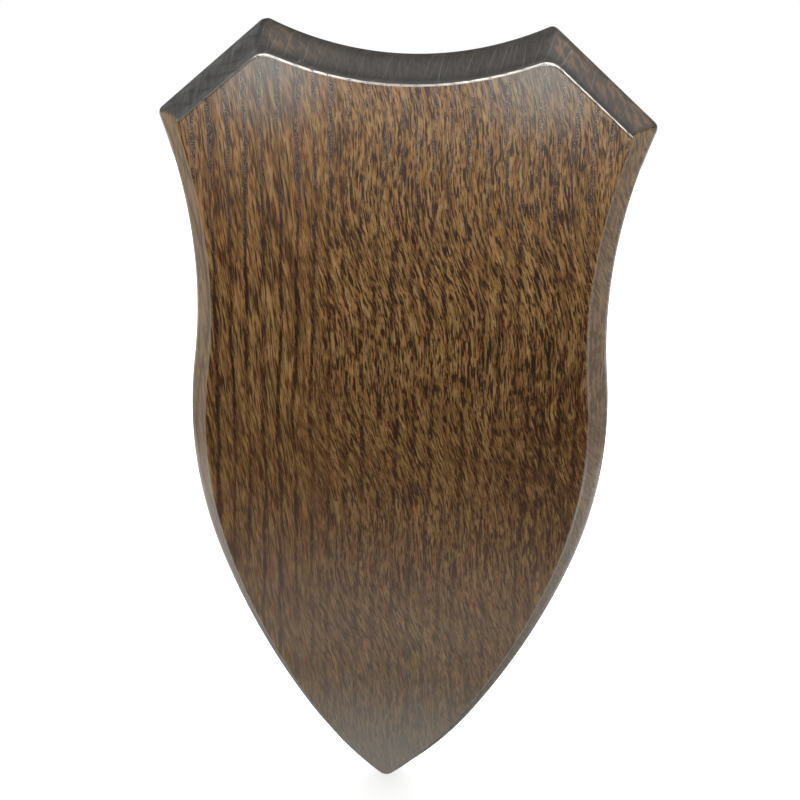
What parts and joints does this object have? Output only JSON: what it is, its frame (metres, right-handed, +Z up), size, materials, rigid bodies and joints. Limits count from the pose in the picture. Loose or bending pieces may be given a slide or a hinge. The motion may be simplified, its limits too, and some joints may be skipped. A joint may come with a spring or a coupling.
{
  "type": "wooden wall plaque",
  "caption": "Dark oak shield plaque with a hollow top, pointed tip, routed ogee edge and blank front, hung by a keyhole plate let into its back.",
  "frame": {"origin": "centre of the keyhole's round entry hole, in the plane of the board's back", "axes": "+Z up as it hangs, +X to the right of someone facing the front, +Y into the wall; the front faces -Y"},
  "size_m": [0.1444, 0.022, 0.25],
  "materials": {
    "stained_oak": "dark stained oak under satin varnish, upright grain",
    "brass_plate": "pressed sheet brass",
    "plated_screw": "brass-plated steel",
    "bumper_rubber": "black moulded rubber, satin"
  },
  "bodies": {
    "root": {"shield_board": "stained_oak", "keyhole_hanger_plate": "brass_plate", "hanger_screw_top": "plated_screw", "hanger_screw_bottom": "plated_screw", "wall_bumper_left": "bumper_rubber", "wall_bumper_right": "bumper_rubber", "wall_bumper_tip": "bumper_rubber"}
  },
  "joints": []
}
